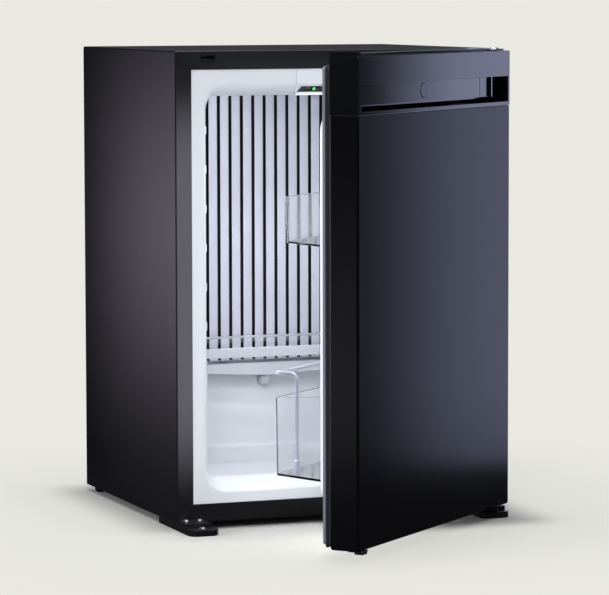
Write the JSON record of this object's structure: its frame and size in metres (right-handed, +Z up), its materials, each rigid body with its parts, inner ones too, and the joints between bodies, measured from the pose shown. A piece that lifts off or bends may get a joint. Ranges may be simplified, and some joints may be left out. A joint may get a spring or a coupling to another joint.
{
  "type": "minibar fridge",
  "caption": "Absorption minibar fridge: dark steel cabinet with a white moulded liner, glass shelf, hinged door with a recessed grip and clear bins, and a cooling unit behind.",
  "frame": {"origin": "on the floor under the middle of the bounding box, with the door half open as in the picture", "axes": "+X to the right along the front, +Y to the back, +Z up"},
  "size_m": [0.4056, 0.6548, 0.559],
  "materials": {
    "painted_sheet": "satin black powder coat on steel sheet",
    "door_sheet": "smooth semi-gloss black paint on steel sheet",
    "galvanised": "galvanised steel sheet",
    "foam": "foamed insulation, hidden",
    "white_moulding": "satin white moulded polystyrene",
    "black_moulding": "satin black moulded plastic",
    "gloss_black": "polished black moulded plastic",
    "lamp": "lit green indicator",
    "lens": "frosted white lens",
    "foot_moulding": "semi-gloss black nylon",
    "dark_plastic": "dark grey moulded plastic",
    "plated_steel": "zinc-plated steel",
    "cold_plate": "anodised extruded aluminium",
    "tray_plastic": "light grey moulded plastic",
    "shelf_glass": "clear float glass with polished edges",
    "unit_steel": "matt black paint on welded steel tube",
    "smoke_clear": "clear smoke-tinted moulded plastic",
    "seal": "matt grey extruded seal",
    "silver_trim": "metallised silver plastic",
    "bracket_plastic": "grey moulded plastic",
    "chromed_wire": "grey-chromed bent wire"
  },
  "bodies": {
    "cabinet": {"outer_case": "painted_sheet", "base_pan": "painted_sheet", "back_panel": "galvanised", "foam_insulation": "foam", "inner_liner": "white_moulding", "ceiling_module": "white_moulding", "control_panel": "gloss_black", "status_lamp": "lamp", "light_diffuser": "lens", "hinge_slot_plug": "dark_plastic", "top_plug_left": "dark_plastic", "top_plug_right": "dark_plastic", "top_hinge_bracket": "plated_steel", "top_hinge_pin": "plated_steel", "front_left_foot": "foot_moulding", "front_left_foot_screw_1": "plated_steel", "front_left_foot_screw_2": "plated_steel", "front_left_foot_screw_3": "plated_steel", "rear_left_foot": "foot_moulding", "front_right_foot": "foot_moulding", "bottom_hinge_pin": "plated_steel", "front_right_foot_screw_1": "plated_steel", "front_right_foot_screw_2": "plated_steel", "rear_right_foot": "foot_moulding", "evaporator_fins": "cold_plate", "drip_tray": "tray_plastic", "drain_tube": "white_moulding", "shelf_glass": "shelf_glass", "shelf_front_trim": "tray_plastic", "shelf_rear_trim": "tray_plastic", "boiler_jacket": "galvanised", "absorber_vessel": "unit_steel", "absorber_coil": "unit_steel", "condenser": "unit_steel", "evaporator_tube": "cold_plate", "heat_exchanger_tube": "unit_steel", "unit_bracket_left": "galvanised", "unit_bracket_right": "galvanised", "evaporation_pan": "foot_moulding", "electronics_box": "black_moulding", "mains_gland": "foot_moulding", "heater_lead": "foot_moulding"},
    "door": {"door_panel": "door_sheet", "door_foam": "foam", "door_liner": "white_moulding", "handle_module": "black_moulding", "upper_hinge_bush": "dark_plastic", "grip_panel": "gloss_black", "lock_cap": "gloss_black", "grip_trim": "silver_trim", "lower_hinge_bush": "dark_plastic", "spare_hinge_bush": "dark_plastic", "door_gasket": "seal", "lower_bin": "smoke_clear", "upper_bin": "smoke_clear", "bin_bracket_left": "bracket_plastic", "bin_bracket_right": "bracket_plastic", "bottle_guard": "chromed_wire"}
  },
  "joints": [
    {"name": "door_hinge", "type": "hinge", "parent": "cabinet", "child": "door", "pos_m": [0.1817, -0.06255, 0.28], "axis": [0, 0, 1], "range_deg": [-41.71, 65]}
  ]
}
